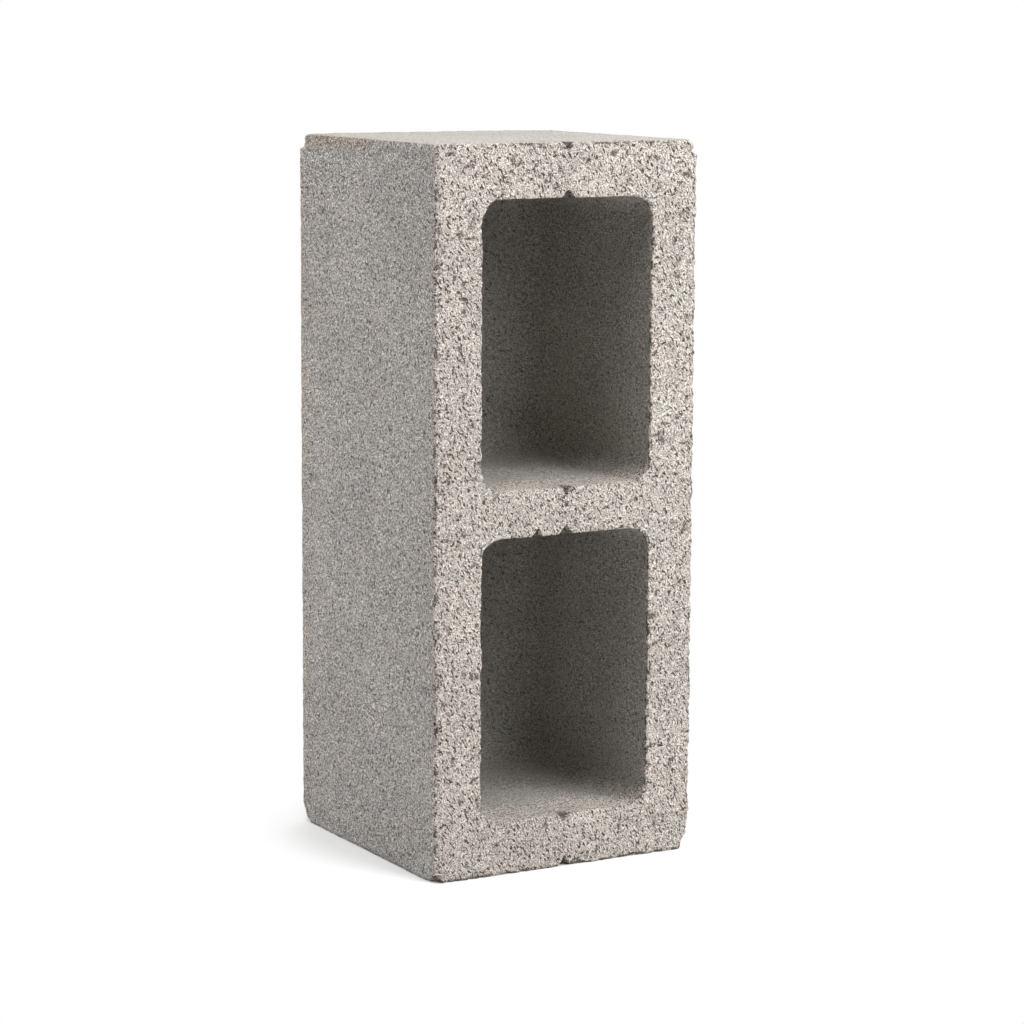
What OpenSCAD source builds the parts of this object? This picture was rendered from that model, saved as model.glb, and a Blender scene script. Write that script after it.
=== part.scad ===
// Two-cell hollow concrete block, standing on its end.
// It is moulded in one piece. The cells open on one bed face (-Y) and are
// closed on the other (+Y). X runs across the two face shells, and Z along
// the block's length. The origin is the middle of the end it stands on.

/* [Block] */
// Length of the block, which is its height as it stands on end
block_length = 490; // [420:1:590]
// Width across the outer faces of the two shells
block_width = 200; // [165:1:245]
// Depth from the open bed face to the closed one
block_depth = 200; // [150:1:245]
// Radius that the mould leaves on the outer edges
edge_radius = 3; // [1:0.5:6]

/* [Walls] */
// Number of cells in the length of the block
cell_count = 2; // [1:1:3]
// Thickness of each long shell at the mouths of the cells
shell = 35; // [25:0.5:45]
// Thickness of the web at each end of the block
end_web = 36.5; // [25:0.5:45]
// Thickness of a web between two cells
centre_web = 32; // [25:0.5:45]
// Thickness of the closed bed behind the cells
closed_bed = 28; // [18:0.5:40]

/* [Cells] */
// Corner radius of a cell at its mouth
cell_radius = 15; // [8:0.5:25]
// How far each wall of a cell leans in over its depth, so the core draws out
draft = 2.5; // [1:0.5:5]
// Radius where the walls of a cell turn into the closed bed
nose_radius = 30; // [10:1:40]

/* [Nicks left by the bar that held the cores] */
// Width of a nick along the edge of its web
nick_width = 10; // [6:0.5:16]
// How far a nick runs in from the edge of its web
nick_run = 7; // [4:0.5:9]
// Depth of a nick into the open bed face
nick_depth = 5; // [2:0.5:10]

/* [Hidden] */
// How far a cutting solid runs past the face it opens
past = 1;
// Thickness of the thin slices that a core is stretched over
slice = 0.1;
// Least corner radius of a slice, however far it is drawn in
least_radius = 2;
// Slices that make the quarter circle of a core's nose
nose_steps = 5;
concrete_grey = [0.72, 0.69, 0.66];
cell_width = block_width - 2 * shell;
cell_height = (block_length - 2 * end_web - (cell_count - 1) * centre_web) / cell_count;
cell_depth = block_depth - closed_bed;
cell_pitch = cell_height + centre_web;
open_face = -block_depth / 2;

// Height of the middle of a cell, counted from 0 at the lower end
function cell_middle(index) = end_web + cell_height / 2 + index * cell_pitch;

module rounded_rectangle(width, height, radius) {
    square([width - 2 * radius, height], center = true);
    square([width, height - 2 * radius], center = true);
    for (side_x = [-1, 1], side_y = [-1, 1])
        translate([side_x * (width / 2 - radius), side_y * (height / 2 - radius)])
            circle(r = radius, $fn = 32);
}

// A plate whose outline lies in X and Z, and whose thickness runs from near_y to +Y
module plate(width, height, radius, near_y, thickness) {
    translate([0, near_y + thickness, 0])
        rotate([90, 0, 0])
            linear_extrude(height = thickness)
                rounded_rectangle(width, height, radius);
}

// The block with no cells: the three outlines it is seen with, each with worn corners
module moulded_body() {
    translate([0, 0, block_length / 2])
        intersection() {
            plate(block_width, block_length, edge_radius, open_face, block_depth);
            linear_extrude(height = block_length, center = true)
                rounded_rectangle(block_width, block_depth, edge_radius);
            rotate([0, 90, 0])
                linear_extrude(height = block_width, center = true)
                    rounded_rectangle(block_length, block_depth, edge_radius);
        }
}

// A thin slice of a core, at a depth behind the open face and drawn in by an inset
module core_slice(depth, inset) {
    lean = draft * depth / cell_depth + inset;
    plate(cell_width - 2 * lean, cell_height - 2 * lean,
          max(cell_radius - lean, least_radius), open_face + depth, slice);
}

// The space of one tapered core with a rounded nose, from just outside its mouth
module cell() {
    hull() {
        core_slice(-past, 0);
        for (step = [0 : nose_steps]) {
            angle = 90 * step / nose_steps;
            core_slice(cell_depth - slice - nose_radius * (1 - sin(angle)),
                       nose_radius * (1 - cos(angle)));
        }
    }
}

// A wedge cut at a web's edge, pointing into the web: up for way = 1, down for way = -1
module nick(edge_z, way) {
    half = nick_width / 2;
    // The wedge's sides run on past the edge at the same slant
    spread = half * (1 + past / nick_run);
    translate([0, open_face + nick_depth, edge_z])
        rotate([90, 0, 0])
            linear_extrude(height = nick_depth + past)
                polygon([[-spread, -way * past], [spread, -way * past], [0, way * nick_run]]);
}

module block() {
    color(concrete_grey)
        difference() {
            moulded_body();
            for (index = [0 : cell_count - 1]) {
                translate([0, 0, cell_middle(index)])
                    cell();
                nick(cell_middle(index) - cell_height / 2, -1);
                nick(cell_middle(index) + cell_height / 2, 1);
            }
            nick(0, 1);
            nick(block_length, -1);
        }
}

block();
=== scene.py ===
# %% [markdown]
# # A hollow concrete block, standing on its end
#
# The block is moulded in one piece from a stiff, stony concrete. The mould presses its sides
# nearly smooth, while the bed face that looks up in the mould is only tamped, so its stones
# and the hollows between them stay open. That face has the mouths of two blind cells, and
# it looks along -Y here. This script makes the block as one closed mesh, gives its surfaces
# their own finishes, and sets it on a pale floor.

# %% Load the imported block, which fixes every size and place
import math

import bpy
import numpy as np
from mathutils import Matrix, Vector


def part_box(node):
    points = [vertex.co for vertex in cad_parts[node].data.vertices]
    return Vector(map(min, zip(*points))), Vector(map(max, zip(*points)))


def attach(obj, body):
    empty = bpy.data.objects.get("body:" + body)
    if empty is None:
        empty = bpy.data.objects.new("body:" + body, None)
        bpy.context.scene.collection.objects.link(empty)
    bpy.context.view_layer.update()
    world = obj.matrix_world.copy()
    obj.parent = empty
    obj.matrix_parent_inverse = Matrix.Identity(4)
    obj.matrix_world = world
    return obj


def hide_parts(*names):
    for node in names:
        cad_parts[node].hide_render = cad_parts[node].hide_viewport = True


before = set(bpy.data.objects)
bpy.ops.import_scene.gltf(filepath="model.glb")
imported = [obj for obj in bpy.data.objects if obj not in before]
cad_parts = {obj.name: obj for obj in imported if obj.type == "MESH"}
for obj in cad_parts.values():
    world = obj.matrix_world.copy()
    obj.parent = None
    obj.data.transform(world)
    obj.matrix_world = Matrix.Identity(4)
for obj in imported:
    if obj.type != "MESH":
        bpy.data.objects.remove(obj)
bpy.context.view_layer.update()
low, high = [np.array(corner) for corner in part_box("block")]
size = high - low
print("the block is", np.round(size * 1000, 1), "mm")

# %% [markdown]
# ## Camera
#
# A long lens from more than two metres away keeps the upright edges almost parallel. The
# camera stands to the left of the open face, a little above the block's top, and looks
# down at it.

# %% Place the camera
MM = 0.001
camera_place = Vector((-1068.5, -1907.6, 572.1)) * MM
camera_turn = math.radians(29.59)
camera_tilt = math.radians(8.89)
camera_roll = math.radians(0.29)

camera_data = bpy.data.cameras.new("camera")
camera_data.lens = 111.7
camera_data.sensor_width = 36.0
camera = bpy.data.objects.new("camera", camera_data)
camera.matrix_world = (
    Matrix.Translation(camera_place)
    @ Matrix.Rotation(-camera_turn, 4, "Z")
    @ Matrix.Rotation(math.pi / 2 - camera_tilt, 4, "X")
    @ Matrix.Rotation(camera_roll, 4, "Z")
)
bpy.context.scene.collection.objects.link(camera)
bpy.context.scene.camera = camera
print("the camera is", round(camera_place.length, 2), "m from the block's foot")

# %% [markdown]
# ## Squared paper
#
# Every surface of the block is first drawn on squared paper: a point has three whole
# numbers, which count fine squares along X, Y and Z. Two sheets that meet then share the
# very same points, so the mesh closes with no gaps. The open face gets the finest squares
# because its stones have to show; the sides take every second line and the closed bed
# every fourth. Inside a cell the Y count is negative, and counts rings down from the mouth.

# %% Sizes of the walls, and the lines of the squared paper
shell = 35 * MM
end_web = 36.5 * MM
centre_web = 32 * MM
closed_bed = 28 * MM
cell_radius = 15 * MM
draft = 2.5 * MM
nose_radius = 30 * MM
edge_radius = 2.6 * MM
lip_radius = 1.6 * MM

cell_width = size[0] - 2 * shell
cell_height = (size[2] - 2 * end_web - centre_web) / 2
cell_depth = size[1] - closed_bed
cell_middles = (end_web + cell_height / 2, size[2] - end_web - cell_height / 2)

shell_lines, cell_lines_x = 26, 100
end_lines, centre_lines, cell_lines_z = 28, 24, 148
side_lines = 2 * shell_lines + cell_lines_x


def graded(widths, counts):
    """Distances from 0 along a row of spans, each cut into its own number of equal steps."""
    steps = np.concatenate([np.full(n, w / n) for w, n in zip(widths, counts)])
    return np.concatenate([[0.0], np.cumsum(steps)])


lines_x = low[0] + graded(
    (shell, cell_width, shell), (shell_lines, cell_lines_x, shell_lines))
lines_y = low[1] + graded((size[1],), (side_lines,))
lines_z = low[2] + graded(
    (end_web, cell_height, centre_web, cell_height, end_web),
    (end_lines, cell_lines_z, centre_lines, cell_lines_z, end_lines))

# A cell's wall runs straight down from the mouth, then turns through a quarter circle into
# the closed bed. Its rings lie close together at the mouth and further apart in the dark.
ring_gaps = np.concatenate([[0.8, 1.0, 1.3, 1.6, 2.0, 2.4, 3.0, 3.6], np.full(22, 4.3)])
straight_wall = cell_depth - nose_radius
wall_run = straight_wall + nose_radius * math.pi / 2
ring_run = wall_run * np.concatenate([[0.0], np.cumsum(ring_gaps)]) / ring_gaps.sum()
ring_turn = np.maximum(ring_run - straight_wall, 0) / nose_radius
ring_depth = np.minimum(ring_run, straight_wall) + nose_radius * np.sin(ring_turn)
ring_inset = nose_radius * (1 - np.cos(ring_turn))
rings = len(ring_run) - 1
count_x, count_y, count_z = len(lines_x) - 1, len(lines_y) - 1, len(lines_z) - 1
print("squares:", count_x, "x", count_y, "x", count_z, "and", rings, "rings in a cell")

# %% Rule a sheet of squares


def ruled_sheet(count_u, count_v, step_u, step_v, finer=(), keep=None):
    """All squares of a sheet, each as a ring of (u, v) points that turns from u to v.
    A side named in finer meets a sheet ruled twice as closely, so the squares along it
    get one more point, in the middle of that side, and the two sheets share every point."""
    u, v = np.meshgrid(np.arange(0, count_u, step_u), np.arange(0, count_v, step_v),
                       indexing="ij")
    u, v = u.ravel(), v.ravel()
    if keep is not None:
        kept = keep(u, v)
        u, v = u[kept], v[kept]
    along = {"south": v == 0, "east": u == count_u - step_u,
             "north": v == count_v - step_v, "west": u == 0}
    sides = ("south", "east", "north", "west")
    ring_corners = np.array([(0, 0), (step_u, 0), (step_u, step_v), (0, step_v)])
    kind = sum((along[side] & (side in finer)) * 2 ** k for k, side in enumerate(sides))
    groups = []
    for value in np.unique(kind):
        ring = []
        for k in range(len(sides)):
            ring.append(ring_corners[k])
            if value & 2 ** k:
                ring.append((ring_corners[k] + ring_corners[(k + 1) % 4]) // 2)
        starts = np.stack([u[kind == value], v[kind == value]], axis=1)
        groups.append(starts[:, None, :] + np.array(ring)[None, :, :])
    return groups


def lay(groups, axis_u, axis_v, level):
    """Puts the squares on the block's paper: u and v run along two of its axes (0, 1 or 2
    for X, Y or Z) and the third count is level. The sheet faces the way u turns to v."""
    laid = []
    for squares in groups:
        points = np.full(squares.shape[:2] + (3,), level)
        points[..., axis_u] = squares[..., 0]
        points[..., axis_v] = squares[..., 1]
        laid.append(points)
    return laid


# %% Lay the six outer sheets
X, Y, Z = 0, 1, 2
cell_starts_z = (end_lines, end_lines + cell_lines_z + centre_lines)


def outside_cells(u, v):
    """True for the squares of the open face that aren't in the mouth of a cell."""
    in_x = (u >= shell_lines) & (u < shell_lines + cell_lines_x)
    in_z = sum((v >= start) & (v < start + cell_lines_z) for start in cell_starts_z) > 0
    return ~(in_x & in_z)


sheets = []
sheets += lay(ruled_sheet(count_x, count_z, 1, 1, keep=outside_cells), X, Z, 0)
sheets += lay(ruled_sheet(count_z, count_x, 4, 4, ("south", "east", "north", "west")),
              Z, X, count_y)
sheets += lay(ruled_sheet(count_z, count_y, 2, 2, ("south",)), Z, Y, 0)
sheets += lay(ruled_sheet(count_y, count_z, 2, 2, ("west",)), Y, Z, count_x)
sheets += lay(ruled_sheet(count_x, count_y, 2, 2, ("south",)), X, Y, count_z)
sheets += lay(ruled_sheet(count_y, count_x, 2, 2, ("west",)), Y, X, 0)

# %% Line the cells
mouth_x = np.concatenate([
    np.arange(0, cell_lines_x), np.full(cell_lines_z, cell_lines_x),
    np.arange(cell_lines_x, 0, -1), np.zeros(cell_lines_z, int)]) + shell_lines
mouth_z = np.concatenate([
    np.zeros(cell_lines_x, int), np.arange(0, cell_lines_z),
    np.full(cell_lines_x, cell_lines_z), np.arange(cell_lines_z, 0, -1)])
around = len(mouth_x)
for start in cell_starts_z:
    # The wall: u runs round the mouth and v counts the rings down from it
    for squares in ruled_sheet(around, rings, 2, 1, ("south",)):
        place = squares[..., 0] % around
        sheets.append(np.stack(
            [mouth_x[place], -squares[..., 1], mouth_z[place] + start], axis=-1))
    # The closed bed behind the cell
    for squares in ruled_sheet(cell_lines_x, cell_lines_z, 2, 2):
        sheets.append(np.stack(
            [squares[..., 0] + shell_lines, np.full(squares.shape[:2], -rings),
             squares[..., 1] + start], axis=-1))

# %% Give each point of the paper one number, so that sheets which meet share their points
counts, shared = np.unique(
    np.concatenate([s.reshape(-1, 3) for s in sheets]), axis=0, return_inverse=True)
shared = shared.ravel()
faces = []
used = 0
for s in sheets:
    faces += shared[used:used + s.shape[0] * s.shape[1]].reshape(s.shape[:2]).tolist()
    used += s.shape[0] * s.shape[1]
triangles = sum(len(face) - 2 for face in faces)
print(len(counts), "points,", len(faces), "faces,", triangles, "triangles")

# %% [markdown]
# ## From squares to a moulded block
#
# The sharp block on paper becomes the moulded one in three moves. The square corners of the
# cells are pressed round. The walls of the cells lean in, so that the cores could be drawn.
# The outer edges and the lips of the mouths are rounded, by a radius that wanders along
# the edge because stones have come away there.

# %% Random fields, worked out for whole arrays of points
# Each call names its own seed, so that no two fields run alike.


def lottery(cell, seed):
    """A repeatable random number from 0 to 1 for each whole-numbered place in cell. Its
    three counts are multiplied by large odd numbers, added, and folded onto themselves."""
    mixed = (cell[..., 0] * 374761393 + cell[..., 1] * 668265263
             + cell[..., 2] * 1103515245 + seed * 362437) & 0xFFFFFFFF
    mixed = ((mixed ^ (mixed >> 13)) * 1274126177) & 0xFFFFFFFF
    mixed = ((mixed ^ (mixed >> 15)) * 2246822519) & 0xFFFFFFFF
    return ((mixed ^ (mixed >> 16)) & 0xFFFFFF) / float(0xFFFFFF)


def swell(points, spacing, seed):
    """Smooth noise from -1 to 1: random numbers on a lattice, blended between its corners
    by the curve 3t^2 - 2t^3 along each axis."""
    scaled = points / spacing
    cell = np.floor(scaled).astype(np.int64)
    t = scaled - cell
    t = t * t * (3 - 2 * t)
    total = np.zeros(len(points))
    for corner in np.ndindex(2, 2, 2):
        weight = np.prod(np.where(corner, t, 1 - t), axis=1)
        total += weight * lottery(cell + np.array(corner), seed)
    return 2 * total - 1


def gravel(points, spacing, seed):
    """Stones packed at random, one to each box of a lattice. For each point it gives how
    much further the second nearest stone's middle is than the nearest one's, in spacings,
    and the nearest stone's own random number."""
    scaled = points / spacing
    cell = np.floor(scaled).astype(np.int64)
    nearest = np.full(len(points), 9.0)
    second = np.full(len(points), 9.0)
    own = np.zeros(len(points))
    for offset in np.ndindex(3, 3, 3):
        box = cell + np.array(offset) - 1
        middle = box + np.stack([lottery(box, seed + k) for k in (1, 2, 3)], axis=1)
        away = np.linalg.norm(scaled - middle, axis=1)
        closer = away < nearest
        second = np.where(closer, nearest, np.minimum(second, away))
        own = np.where(closer, lottery(box, seed + 4), own)
        nearest = np.where(closer, away, nearest)
    return second - nearest, own


def ramp(values, start, end):
    """0 below start, 1 above end, and the curve 3t^2 - 2t^3 between."""
    t = np.clip((values - start) / (end - start), 0, 1)
    return t * t * (3 - 2 * t)


def wander(points, coarse, fine, seed):
    """How far an edge strays, from 0 to 1 and mostly small: the square of a coarse swell
    and a fine one, added in the shares 0.6 and 0.4."""
    return (0.6 * swell(points, coarse, seed) + 0.4 * swell(points, fine, seed + 1)) ** 2


def lost_stones(points, seed, start, end):
    """1 in the holes that stones have left and 0 outside them. A hole opens where a swell
    3.6 mm wide plus half of one 2.2 mm wide rises from start to end."""
    both = swell(points, 3.6 * MM, seed) + 0.5 * swell(points, 2.2 * MM, seed + 1)
    return ramp(both, start, end)


# %% The sharp block, and its cells


def own_cell_middle(points):
    """The height of the middle of the cell that is nearer to each point."""
    return np.where(points[:, 2] < size[2] / 2, *cell_middles)


in_cell = counts[:, 1] < 0
on_front = counts[:, 1] == 0
ring = np.where(in_cell, -counts[:, 1], 0)
depth_down = ring_depth[ring]
sharp = np.stack([
    lines_x[counts[:, 0]],
    np.where(in_cell, low[1] + depth_down, lines_y[np.maximum(counts[:, 1], 0)]),
    lines_z[counts[:, 2]]], axis=1)
from_face = np.where(in_cell, depth_down, sharp[:, 1] - low[1])
points = sharp.copy()

for middle in cell_middles:
    # Distances past the middles of the corner arcs; both are positive only in a corner
    across = np.abs(points[:, 0]) - (cell_width / 2 - cell_radius)
    up = np.abs(points[:, 2] - middle) - (cell_height / 2 - cell_radius)
    longer = np.maximum(across, up)
    straight = np.hypot(across, up)
    corner = ((in_cell | on_front) & (across > 0) & (up > 0) & (longer < 2 * cell_radius))
    # A square ring round the arc's middle becomes a round one, less so further out
    press = 1 - ramp(longer, cell_radius, 2 * cell_radius)
    shrink = np.where(corner, 1 + press * (longer / np.maximum(straight, 1e-9) - 1), 1.0)
    moved_x = np.sign(points[:, 0]) * (cell_width / 2 - cell_radius + across * shrink)
    moved_z = middle + np.sign(points[:, 2] - middle) * (
        cell_height / 2 - cell_radius + up * shrink)
    points[:, 0] = np.where(corner, moved_x, points[:, 0])
    points[:, 2] = np.where(corner, moved_z, points[:, 2])

own_middle = own_cell_middle(points)
lean = draft * depth_down / cell_depth + ring_inset[ring]
points[:, 0] *= 1 - lean / (cell_width / 2)
points[:, 2] = own_middle + (points[:, 2] - own_middle) * (1 - lean / (cell_height / 2))


# %% Round the outer edges and the lips


def from_mouth(points):
    """How far each point lies outside the nearest cell's mouth, which is a rounded oblong,
    and the direction away from it in X and Z. Inside the mouth the distance is negative."""
    flat = np.stack([points[:, 0], points[:, 2] - own_cell_middle(points)], axis=1)
    past = np.abs(flat) - (np.array([cell_width, cell_height]) / 2 - cell_radius)
    outside = np.maximum(past, 0)
    length = np.linalg.norm(outside, axis=1)
    distance = length + np.minimum(past.max(axis=1), 0) - cell_radius
    straight = np.where(past == past.max(axis=1, keepdims=True), 1.0, 0.0)
    direction = np.where((length > 0)[:, None],
                         outside / np.maximum(length, 1e-9)[:, None], straight)
    return distance, direction * np.where(flat < 0, -1.0, 1.0)


# The arrises of the tamped face have lost more than the ones that the mould kept
edge_least, moulded_stray, tamped_stray = 0.35, 0.8, 1.2
near_front = 1 - ramp(points[:, 1] - low[1], 4 * MM, 16 * MM)
radius = edge_radius * (edge_least + (moulded_stray + tamped_stray * near_front)
                        * wander(sharp, 9 * MM, 4 * MM, 11))
outer = ~in_cell
inner = np.clip(points, low + radius[:, None], high - radius[:, None])
away = points - inner
rounded = inner + radius[:, None] * away / np.maximum(
    np.linalg.norm(away, axis=1), 1e-9)[:, None]

distance, direction = from_mouth(points)
lip_least, lip_stray = 0.5, 3.0
lip = lip_radius * (lip_least + lip_stray * wander(sharp, 7 * MM, 3.5 * MM, 21))
out_from_mouth = np.where(in_cell, 0.0, np.maximum(distance, 0))
behind_face = np.where(in_cell, depth_down, 0.0)
at_lip = (in_cell | on_front) & (out_from_mouth < lip) & (behind_face < lip)
# The upright lips are scalloped, because stones bulge into the mouth and drop out of it
scallop = ((0.8 * swell(sharp, 5.2 * MM, 23) + 0.6 * swell(sharp, 2.4 * MM, 24)) * MM
           * direction[:, 0] ** 4 * (in_cell | on_front)
           * (1 - ramp(out_from_mouth, 0, 4 * MM)) * (1 - ramp(behind_face, 0, 6 * MM)))
corner_out = lip - out_from_mouth
corner_in = lip - behind_face
reach = np.maximum(np.hypot(corner_out, corner_in), 1e-9)
lip_out = np.where(at_lip, lip - lip * corner_out / reach - out_from_mouth, 0.0)
lip_in = np.where(at_lip, lip - lip * corner_in / reach - behind_face, 0.0)

points = np.where(outer[:, None], rounded, points)
points[:, 0] += direction[:, 0] * (lip_out + scallop)
points[:, 2] += direction[:, 1] * (lip_out + scallop)
points[:, 1] += lip_in


# %% [markdown]
# ## Nicks and broken corners
#
# A bar held the cores across the mould and left a small triangular nick at the middle of
# each edge of the webs. Handling has since knocked off the block's corners. Both could be
# cut with booleans, but a boolean leaves long thin triangles and a clean cut, so the points
# that are already there are pushed back: down into a triangle for a nick, and onto a rough
# plane for a corner.

# %% Cut the nicks
nick_half, nick_run, nick_depth = 5 * MM, 6 * MM, 4 * MM
web_edges = [(0, 1), (size[2], -1)]
for middle in cell_middles:
    web_edges += [(middle - cell_height / 2, -1), (middle + cell_height / 2, 1)]
nicks = [(0.0, edge, way, nick_half, nick_run, nick_depth) for edge, way in web_edges]
# One more place where the lower cell's upper lip has lost a stone
nicks.append((-22.5 * MM, cell_middles[0] + cell_height / 2, 1, 4.2 * MM, 5.5 * MM, 4 * MM))

nicked = np.zeros(len(points))
for middle_x, edge, way, half, run, bite in nicks:
    # A triangle whose base lies on the web's edge; inside is how far a point lies in it
    up = np.clip((sharp[:, 2] - edge) * way, 0, None)
    wobble = 1.1 * MM * swell(sharp, 3 * MM, 71)
    inside = half * (1 - up / run) - np.abs(sharp[:, 0] - middle_x) + wobble
    reach = np.abs(sharp[:, 2] - edge) < 1.5 * run
    cut = bite * ramp(inside, 0, 1.6 * MM) * (reach & (up < run))
    nicked = np.maximum(nicked, cut)
# Behind the nick the cut dies away, so that the lines of the paper never cross
nicked *= np.clip(1 - from_face / (2.6 * nick_depth), 0, 1)
points[:, 1] += nicked
print("deepest nick", round(nicked.max() * 1000, 1), "mm")


# %% Break off the corners


def broken_corner(points, corner, runs, seed, above):
    """Pulls back what lies past a rough plane near a corner of the box. The plane meets the
    corner's three edges at the distances in runs, so its direction is one over each run, and
    its distance from the corner is one over the length of that. If above is a height, the
    points below it are left alone, which leaves a ledge there."""
    inward = np.where(np.array(corner) > 0, -1.0, 1.0)
    place = np.where(np.array(corner) > 0, high, low)
    slope = 1 / np.array(runs) / MM
    bite = 1 / np.linalg.norm(slope)
    direction = -inward * slope * bite
    rough = 0.9 * MM * swell(points, 5 * MM, seed) + 0.5 * MM * swell(points, 2.6 * MM, seed + 1)
    past = (points - place) @ direction + bite + rough
    near = np.linalg.norm(points - place, axis=1) < 2.2 * max(runs) * MM
    pull = np.where(near, np.clip(past, 0, None), 0)
    if above is not None:
        half_step = 1.6 * MM
        pull *= ramp(points[:, 2] + 0.8 * MM * swell(points, 4 * MM, seed + 2),
                     above - half_step, above + half_step)
    return points - direction * pull[:, None]


FAR = 1e6
TOP_LEDGE = size[2] - 8.5 * MM
# Each break has its corner, its runs along X, Y and Z in millimetres, its seed, and the
# height of its ledge if it has one. The first two corners broke in two steps.
breaks = [
    ((-1, 1, 1), (8.5, 8.0, FAR), 80, TOP_LEDGE),
    ((-1, 1, 1), (14, 13, 6.5), 83, None),
    ((1, -1, 1), (4.2, 9, FAR), 86, TOP_LEDGE),
    ((1, -1, 1), (9, 12, 5), 89, None),
    ((1, -1, -1), (7.5, 25, 19), 92, None),
    ((-1, 1, -1), (7, 12, 13), 95, None),
    ((-1, -1, -1), (9, 9, 7), 98, None),
    ((-1, -1, 1), (6, 6, 5), 101, None),
    ((1, 1, 1), (10, 9, 7), 104, None),
    ((1, 1, -1), (8, 12, 6), 107, None),
]
for corner, runs, seed, above in breaks:
    points = broken_corner(points, corner, runs, seed, above)


# %% Make the mesh, to learn which way each point faces


def make_mesh(name, points, faces):
    """A mesh from an array of points and a list of rings of point numbers."""
    mesh = bpy.data.meshes.new(name)
    mesh.from_pydata(points, [], faces)
    mesh.update()
    return mesh


def facing(mesh):
    """The direction out of the surface at each point of the mesh."""
    normals = np.empty(len(mesh.vertices) * 3)
    mesh.vertices.foreach_get("normal", normals)
    return normals.reshape(-1, 3)


mesh = make_mesh("block", points, faces)
outward = facing(mesh)
print("moulded block spans", np.round((points.max(0) - points.min(0)) * 1000, 1), "mm")

# %% [markdown]
# ## Stones and hollows
#
# The relief is a height for each point, which moves it along the direction it faces. On the
# tamped face whole stones stand up or sink, with hollows between them, and the arris round
# that face crumbles. The pressed sides only ripple, with a pinhole here and there. What is
# finer than the squares of the mesh is left to the finish.

# %% Work out the relief
tamped = 1 - ramp(from_face + 1.2 * MM * swell(sharp, 5 * MM, 30), 0.6 * MM, 4.5 * MM)
warp = np.stack([swell(sharp, 3 * MM, k) for k in (31, 32, 33)], axis=1)
gap, own = gravel(sharp + 0.6 * MM * warp, 3.1 * MM, 40)
stones = 0.5 * ramp(gap, 0.0, 0.5) + 0.9 * (own - 0.5)
pits = lost_stones(sharp, 51, 0.5, 0.85)
# Under the bar the concrete closed poorly, which left a seam down the middle of the webs
on_seam = np.abs(sharp[:, 0] + 1.2 * MM * swell(sharp, 9 * MM, 56)) < 1.6 * MM
seam_pits = on_seam * ramp(swell(sharp, 3.2 * MM, 57), 0.2, 0.6)
pinholes = ramp(swell(sharp, 6 * MM, 63), 0.72, 0.9)
# All heights are in millimetres until they are multiplied by MM
rough_relief = (0.36 * stones - 0.8 * pits - 0.6 * seam_pits
                + 0.3 * swell(sharp, 9 * MM, 53) + 0.3 * swell(sharp, 2.6 * MM, 54)) * MM
smooth_relief = (0.12 * stones + 0.22 * swell(sharp, 22 * MM, 61)
                 + 0.16 * swell(sharp, 7 * MM, 62) - 0.5 * pinholes) * MM
# Where a stone has come away from an arris of the tamped face, a small bite is left
to_side = np.minimum(np.abs(np.abs(sharp[:, 0]) - size[0] / 2),
                     np.minimum(sharp[:, 2], size[2] - sharp[:, 2]))
at_arris = (1 - ramp(to_side, 1.2 * MM, 3.2 * MM)) * (1 - ramp(from_face, 0.4 * MM, 2 * MM))
crumbs = at_arris * outer * lost_stones(sharp, 65, 0.1, 0.5)
relief = tamped * rough_relief + (1 - tamped) * smooth_relief - 0.6 * MM * crumbs
points = points + outward * relief[:, None]
points[:, 2] = np.maximum(points[:, 2], 0.0)
mesh.vertices.foreach_set("co", points.ravel())
mesh.update()
block = bpy.data.objects.new("concrete_block", mesh)
bpy.context.scene.collection.objects.link(block)
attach(block, "root")
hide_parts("block")
print("relief runs from", round(relief.min() / MM, 2), "to", round(relief.max() / MM, 2), "mm")

# %% [markdown]
# ## The finish of the concrete
#
# The concrete is stone chips and sand glued by a little cement. Four surfaces show it
# differently. The tamped face has bright broken chips with dark hollows between them; the
# dark of the hollows is painted shade over the cement's own colour. The moulded sides have
# the same chips under a thin skin, in low contrast. The moulded ends were pressed by the
# mould's end plates and are the calmest. The cores rubbed the cells' walls to fine streaks
# along Y. A picture of concrete could be wrapped round the block, but it would smear at the
# arrises, so the grain is worked out in space, at its real size. All four are built from the
# same two shared effects: one gives the height and the hollows of packed grains, the other
# their colour, with painted shade in the hollows.

# %% Helpers for shader nodes


def feed(tree, socket, value):
    """Links the socket to another one, or sets it to a constant."""
    if isinstance(value, bpy.types.NodeSocket):
        tree.links.new(value, socket)
    else:
        socket.default_value = value


def node(tree, kind, inputs=(), **settings):
    """Adds a shader node. Each input is a constant, or a socket that is linked to it."""
    made = tree.nodes.new("ShaderNode" + kind)
    for name, value in settings.items():
        setattr(made, name, value)
    for name, value in dict(inputs).items():
        feed(tree, made.inputs[name], value)
    return made


def maths(tree, operation, *values):
    """One sum, such as MULTIPLY or ADD, on two values."""
    return node(tree, "Math", dict(enumerate(values)), operation=operation).outputs[0]


def soft_step(tree, value, start, end, first=0.0, last=1.0):
    """Goes smoothly from first to last as the value goes from start to end."""
    inputs = {"Value": value, "From Min": start, "From Max": end, "To Min": first,
              "To Max": last}
    return node(tree, "MapRange", inputs, interpolation_type="SMOOTHSTEP").outputs[0]


def mix_colours(tree, share, first, second, blend="MIX"):
    """Two colours mixed by a share from 0 to 1."""
    made = node(tree, "Mix", data_type="RGBA", blend_type=blend)
    # The node has a set of sockets for each type of data; 6 and 7 are its two colours
    for number, value in ((0, share), (6, first), (7, second)):
        feed(tree, made.inputs[number], value)
    return made.outputs[2]


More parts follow.
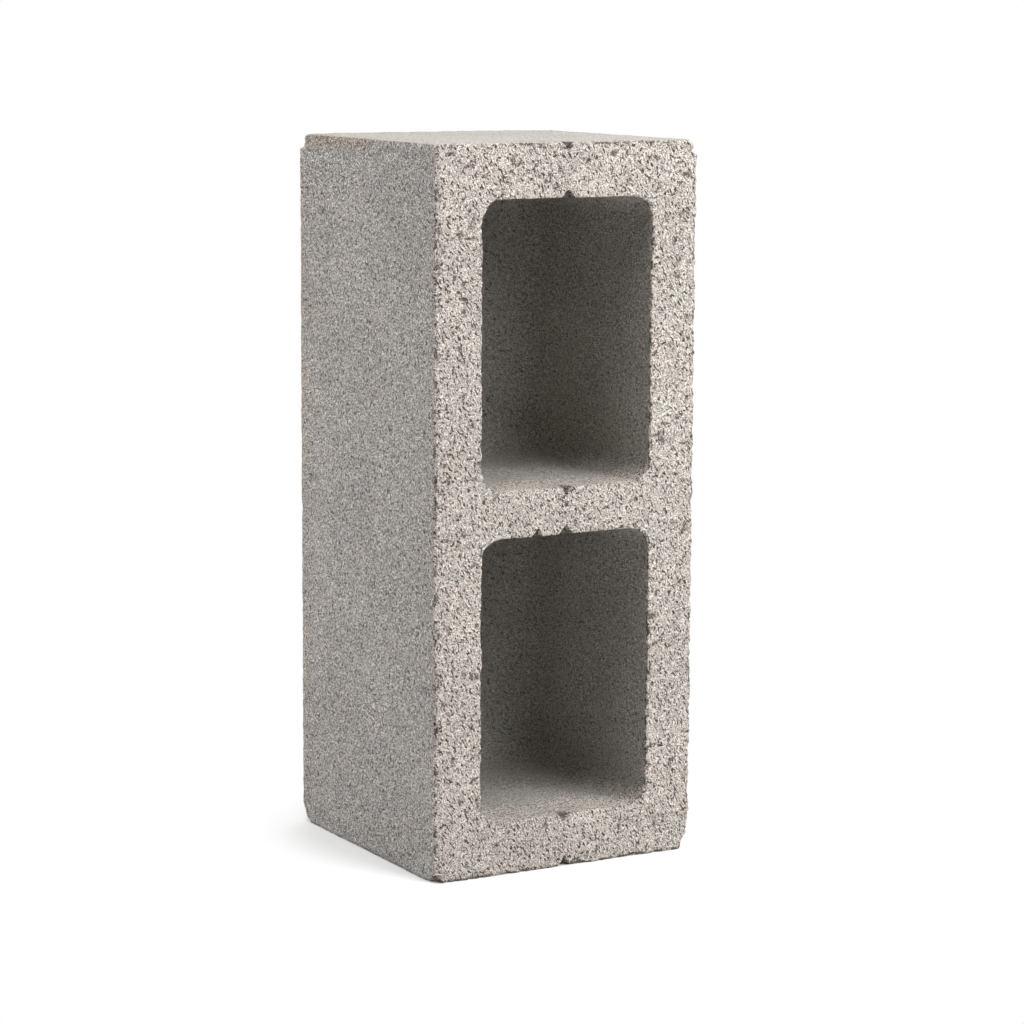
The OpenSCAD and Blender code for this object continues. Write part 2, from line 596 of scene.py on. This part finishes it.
def new_effect(name, inputs, outputs):
    """An empty node group with named sockets, and its two end nodes. Each use of the group
    sets all of its inputs."""
    tree = bpy.data.node_groups.new(name, "ShaderNodeTree")
    for in_out, sockets in (("INPUT", inputs), ("OUTPUT", outputs)):
        for label, kind in sockets.items():
            tree.interface.new_socket(label, in_out=in_out, socket_type="NodeSocket" + kind)
    return tree, tree.nodes.new("NodeGroupInput").outputs, tree.nodes.new("NodeGroupOutput").inputs


# %% Packed grains: their height, the hollows between them, and a tone for each
packed_grains, given, result = new_effect(
    "packed_grains",
    {"Vector": "Vector", "Grains per metre": "Float", "Groove width": "Float",
     "Pit level": "Float"},
    {"Height": "Float", "Hollows": "Float", "Tone": "Float"})
tree = packed_grains
# The noises' scales are counted in grains, because spot is
spot = node(tree, "VectorMath", {0: given["Vector"], "Scale": given["Grains per metre"]},
            operation="SCALE").outputs[0]
# Grooves wind round the grains where a smooth noise passes its middle value
winding = node(tree, "TexNoise", {"Vector": spot, "Scale": 0.8, "Detail": 1.0,
                                  "Roughness": 0.5, "Distortion": 0.5}).outputs["Fac"]
off_middle = maths(tree, "ABSOLUTE", maths(tree, "SUBTRACT", winding, 0.5))
grooves = soft_step(tree, off_middle, 0.0, given["Groove width"], 1.0, 0.0)
# Pits are longer than wide and lie on a slant, where a broader noise is low
pit_slant = math.radians(-32)
pit_length = 2.1
slanted = node(tree, "Mapping", {"Vector": spot, "Rotation": (0, pit_slant, 0),
                                 "Scale": (1.0, 1.0, pit_length)},
               vector_type="TEXTURE").outputs[0]
broad = node(tree, "TexNoise", {"Vector": slanted, "Scale": 0.8, "Detail": 1.0}).outputs["Fac"]
pit_edge = maths(tree, "ADD", given["Pit level"], 0.05)
small_pits = soft_step(tree, broad, given["Pit level"], pit_edge, 1.0, 0.0)
fine = node(tree, "TexNoise", {"Vector": spot, "Scale": 1.25, "Detail": 1.0}).outputs["Fac"]
tone = soft_step(tree, fine, 0.3, 0.7)
hollows = maths(tree, "MAXIMUM", maths(tree, "MULTIPLY", grooves, 0.6), small_pits)
height = maths(tree, "SUBTRACT", maths(tree, "MULTIPLY", tone, 0.5), hollows)
for label, socket in (("Height", height), ("Hollows", hollows), ("Tone", tone)):
    feed(tree, result[label], socket)

# %% Colour of the grains, and of the cement between them darkened by painted shade
grain_colour, given, result = new_effect(
    "grain_colour",
    {"Vector": "Vector", "Hollows": "Float", "Tone": "Float", "Grain": "Color",
     "Cement in shade": "Color", "Tone spread": "Float", "Patches": "Float"},
    {"Color": "Color", "Roughness": "Float"})
tree = grain_colour
PLAIN, GREENER, ROSIER = (1, 1, 1, 1), (0.975, 1.0, 0.985, 1), (1.03, 0.99, 0.985, 1)
patch = node(tree, "TexNoise", {"Vector": given["Vector"], "Scale": 42.0,
                                "Detail": 2.0}).outputs["Fac"]
cloud = node(tree, "TexNoise", {"Vector": given["Vector"], "Scale": 11.0,
                                "Detail": 1.0}).outputs["Fac"]
tint = mix_colours(tree, soft_step(tree, patch, 0.38, 0.62), GREENER, ROSIER)
tint = mix_colours(tree, given["Patches"], PLAIN, tint)
bright = soft_step(tree, cloud, 0.3, 0.7, 0.95, 1.05)
spread = maths(tree, "MULTIPLY", maths(tree, "SUBTRACT", given["Tone"], 0.5),
               given["Tone spread"])
level = maths(tree, "MULTIPLY", bright, maths(tree, "ADD", spread, 1.0))
body = mix_colours(tree, 1.0, given["Grain"], tint, "MULTIPLY")
body = node(tree, "VectorMath", {0: body, "Scale": level}, operation="SCALE").outputs[0]
# The hollows take the second colour: the cement's colour darkened by painted shade
feed(tree, result["Color"], mix_colours(tree, given["Hollows"], body, given["Cement in shade"]))
feed(tree, result["Roughness"], soft_step(tree, given["Hollows"], 0, 1, 0.86, 1.0))


# %% One finish from the two effects


EARTH = (0.98, 0.87, 0.78, 1)


def concrete_finish(name, grain, cement_in_shade, per_metre, groove, pit_level, spread, bump_mm,
                    stretch):
    """A concrete surface. The grains have the colour grain, more or less by spread, and the
    hollows between them the second colour, the binder's colour darkened by painted shade.
    The grains read Object coordinates, per_metre of them to a metre, squeezed by stretch
    along each axis. A larger groove widens the grooves between the grains, and a larger
    pit_level opens more pits. The attribute that the block stores for painted shade adds
    shade in its pits, nicks, crumbled arrises, foot and right-hand lips, in the hollows'
    colour; where its stain attribute is high, it is browned by earth."""
    material = bpy.data.materials.new(name)
    material.use_nodes = True
    tree = material.node_tree
    shader = tree.nodes["Principled BSDF"]
    shader.inputs["Specular IOR Level"].default_value = 0.2
    place = node(tree, "TexCoord").outputs["Object"]
    pulled = node(tree, "Mapping", {"Vector": place, "Scale": stretch}).outputs[0]
    packed = node(tree, "Group", {"Vector": pulled, "Grains per metre": per_metre,
                                  "Groove width": groove, "Pit level": pit_level},
                  node_tree=packed_grains).outputs
    # The painted shade that the block stores for its pits, nicks, crumbled arrises, foot and
    # right-hand lips
    painted_shade_share = node(tree, "Attribute", attribute_name="hollow").outputs["Fac"]
    # The grains' own tone breaks the edge of the painted shade in each pit
    broken = maths(tree, "MULTIPLY", maths(tree, "SUBTRACT", packed["Tone"], 0.5), -0.7)
    ragged_shade = soft_step(tree, maths(tree, "ADD", painted_shade_share, broken), 0.4, 0.62)
    painted_shade_share = maths(tree, "MAXIMUM", maths(tree, "MULTIPLY", painted_shade_share, 0.6),
                 maths(tree, "MULTIPLY", ragged_shade, 0.85))
    colour = node(tree, "Group", {
        "Vector": place, "Hollows": maths(tree, "MAXIMUM", packed["Hollows"], painted_shade_share),
        "Tone": packed["Tone"], "Grain": (*grain, 1), "Cement in shade": (*cement_in_shade, 1),
        "Tone spread": spread, "Patches": 0.5}, node_tree=grain_colour).outputs
    bump = node(tree, "Bump", {"Height": packed["Height"], "Strength": 1.0,
                               "Distance": bump_mm * MM})
    stain = node(tree, "Attribute", attribute_name="stain").outputs["Fac"]
    stained = mix_colours(tree, stain, PLAIN, EARTH)
    feed(tree, shader.inputs["Base Color"],
         mix_colours(tree, 1.0, colour["Color"], stained, "MULTIPLY"))
    feed(tree, shader.inputs["Roughness"], colour["Roughness"])
    feed(tree, shader.inputs["Normal"], bump.outputs["Normal"])
    return material


finishes = [
    concrete_finish("tamped_face", grain=(0.63, 0.573, 0.522), cement_in_shade=(0.085, 0.07, 0.057),
                    per_metre=740, groove=0.06, pit_level=0.37, spread=0.85, bump_mm=0.8,
                    stretch=(1.3, 1, 1.3)),
    concrete_finish("moulded_face", grain=(0.53, 0.502, 0.475), cement_in_shade=(0.12, 0.113, 0.106),
                    per_metre=820, groove=0.1, pit_level=0.34, spread=1.0, bump_mm=0.75,
                    stretch=(1, 0.72, 1.15)),
    concrete_finish("moulded_end", grain=(0.436, 0.408, 0.38), cement_in_shade=(0.17, 0.16, 0.149),
                    per_metre=900, groove=0.06, pit_level=0.33, spread=0.55, bump_mm=0.4,
                    stretch=(1, 0.85, 1)),
    concrete_finish("cell_wall", grain=(0.46, 0.436, 0.404), cement_in_shade=(0.17, 0.158, 0.14),
                    per_metre=820, groove=0.08, pit_level=0.32, spread=0.8, bump_mm=0.55,
                    stretch=(1, 0.65, 1.1)),
]
for finish in finishes:
    mesh.materials.append(finish)
TAMPED, MOULDED, END, CELL_WALL = range(4)

# %% Store how much painted shade each point takes, and how brown it is


def store(name, values):
    """Keeps a number from 0 to 1 at each point of the block, for the finishes to read."""
    kept = mesh.attributes.new(name, "FLOAT", "POINT").data
    kept.foreach_set("value", np.clip(values, 0, 1))


# Painted shade in the pits, along the seam, in the nicks and in the crumbled arris;
# each counts by how dark it looks, up to 1
hollow = 0.8 * tamped * pits + 0.7 * tamped * seam_pits + nicked / nick_depth + 0.8 * crumbs
# Painted shade along the foot, where the block meets the floor, and at the cells'
# right-hand lips, which the key lamp leaves in shade
foot_shade_band = outer * (1 - ramp(sharp[:, 2], 0.8 * MM, 2.6 * MM))
hollow += 0.9 * foot_shade_band * ramp(swell(sharp, 3 * MM, 68), -0.5, 0.1)
right_lip_shade_band = ((1 - ramp(out_from_mouth + behind_face, 0.8 * MM, 2.6 * MM))
                * ramp(direction[:, 0], 0.5, 0.9) * (in_cell | on_front))
hollow += 0.9 * right_lip_shade_band * ramp(swell(sharp, 3.4 * MM, 69), 0.0, 0.3)
store("hollow", hollow)
# Damp earth has browned the arris between the upper end and the left shell, at its back
from_arris = np.hypot(sharp[:, 0] - low[0], high[2] - sharp[:, 2])
from_back = high[1] - sharp[:, 1]
stain = ((1 - ramp(from_arris + 2.5 * MM * swell(sharp, 7 * MM, 67), 3 * MM, 11 * MM))
         * (1 - ramp(from_back, 60 * MM, 160 * MM)))
# The back edge of the left shell is faintly browned too
on_left = sharp[:, 0] < low[0] + 1 * MM
stain += (0.35 * on_left
          * (1 - ramp(from_back + 6 * MM * swell(sharp, 20 * MM, 70), 4 * MM, 30 * MM)))
store("stain", stain)

# %% Give each square the finish of the surface it lies on
first_point = [face[0] for face in faces]
face_in_cell = in_cell[first_point]
# Single squares stray over the line between two finishes, so that it doesn't show as one
stray = 2.2 * MM * (lottery(counts[first_point], 120) - 0.35)
# The tamped face's lighter finish runs onto the cells' upward-facing lower walls near
# the mouth: a painted pool of the light that falls in there from above
on_lower_wall = face_in_cell & (outward[first_point, 2] > 0.6)
lit_pool_to = (24 + 9 * swell(sharp[first_point], 7 * MM, 121)
             + 10 * lottery(counts[first_point], 122)) * MM
tamped_and_lit_pool_to = np.where(on_lower_wall, lit_pool_to, 1.2 * MM)
on_end = np.abs(outward[first_point, 2]) > 0.7
finish_of_face = np.where(
    from_face[first_point] + stray < tamped_and_lit_pool_to, TAMPED,
    np.where(face_in_cell, CELL_WALL, np.where(on_end, END, MOULDED)))
mesh.polygons.foreach_set("material_index", finish_of_face.astype(np.int32))
print("squares of each finish:", np.bincount(finish_of_face))

# %% [markdown]
# ## Floor and light
#
# The floor is a pale sheet. The block is lit as in a product studio: a softbox to the right
# of the open face, a weaker one low beside it, a wide one overhead, and two behind the
# block that light the floor and the left shell. The room in front stays dark, which keeps
# the cells dark. To the camera the floor melts into plain white away from the block. The
# floor throws less light back at the block than it shows to the camera, which stands for
# a sheet that is smaller than the modelled one.

# %% Floor
world = bpy.data.worlds.new("studio")
world.use_nodes = True
tree = world.node_tree
seen = node(tree, "LightPath").outputs["Is Camera Ray"]
room_light = 0.02
background = tree.nodes["Background"].inputs
feed(tree, background["Strength"], maths(tree, "MAXIMUM", seen, room_light))
feed(tree, background["Color"], PLAIN)
bpy.context.scene.world = world
bpy.context.scene.view_settings.view_transform = "Standard"

half_floor = 8.0
melt_from, melt_to = 0.115, 0.185
SHOWN, THROWN_BACK = (0.9, 0.9, 0.9, 1), (0.6, 0.6, 0.6, 1)
floor_mesh = make_mesh("floor", [(-half_floor, -half_floor, 0), (half_floor, -half_floor, 0),
                                 (half_floor, half_floor, 0), (-half_floor, half_floor, 0)],
                       [(0, 1, 2, 3)])
floor = bpy.data.objects.new("floor", floor_mesh)
bpy.context.scene.collection.objects.link(floor)
paper = bpy.data.materials.new("floor_paper")
paper.use_nodes = True
tree = paper.node_tree
matt = tree.nodes["Principled BSDF"]
matt.inputs["Roughness"].default_value = 1.0
matt.inputs["Specular IOR Level"].default_value = 0.0
seen = node(tree, "LightPath").outputs["Is Camera Ray"]
feed(tree, matt.inputs["Base Color"], mix_colours(tree, seen, THROWN_BACK, SHOWN))
white = node(tree, "Emission", {"Color": PLAIN, "Strength": 1.0}).outputs[0]
place = node(tree, "TexCoord").outputs["Object"]
away = node(tree, "VectorMath", {0: place}, operation="LENGTH").outputs["Value"]
melt = maths(tree, "MULTIPLY", soft_step(tree, away, melt_from, melt_to), seen)
both = node(tree, "MixShader", {0: melt, 1: matt.outputs[0], 2: white})
feed(tree, tree.nodes["Material Output"].inputs["Surface"], both.outputs[0])
floor_mesh.materials.append(paper)

# %% Softboxes


def softbox(name, turn, lift, distance, width, height, watts):
    """A rectangular lamp that looks at the block's middle from a distance in metres. It
    stands turned from the open face towards the right shell, and lifted above the floor,
    both in degrees."""
    turn, lift = math.radians(turn), math.radians(lift)
    towards = Vector((math.sin(turn) * math.cos(lift), -math.cos(turn) * math.cos(lift),
                      math.sin(lift)))
    data = bpy.data.lights.new(name, "AREA")
    data.shape = "RECTANGLE"
    data.size, data.size_y = width, height
    data.energy = watts
    lamp = bpy.data.objects.new(name, data)
    lamp.matrix_world = (Matrix.Translation(Vector((0, 0, size[2] / 2)) + towards * distance)
                         @ towards.to_track_quat("Z", "Y").to_matrix().to_4x4())
    lamp.visible_camera = False
    bpy.context.scene.collection.objects.link(lamp)


# Name, turn, lift, distance, width, height and watts
softbox("key", 21, 29, 1.7, 1.0, 0.8, 25)
softbox("low_fill", 45, 12, 1.5, 0.8, 0.6, 8.5)
softbox("overhead", 0, 80, 2.0, 1.5, 1.2, 41)
softbox("back_left", -135, 20, 2.2, 1.5, 1.0, 41)
softbox("back_right", 140, 20, 2.2, 1.5, 1.0, 25)
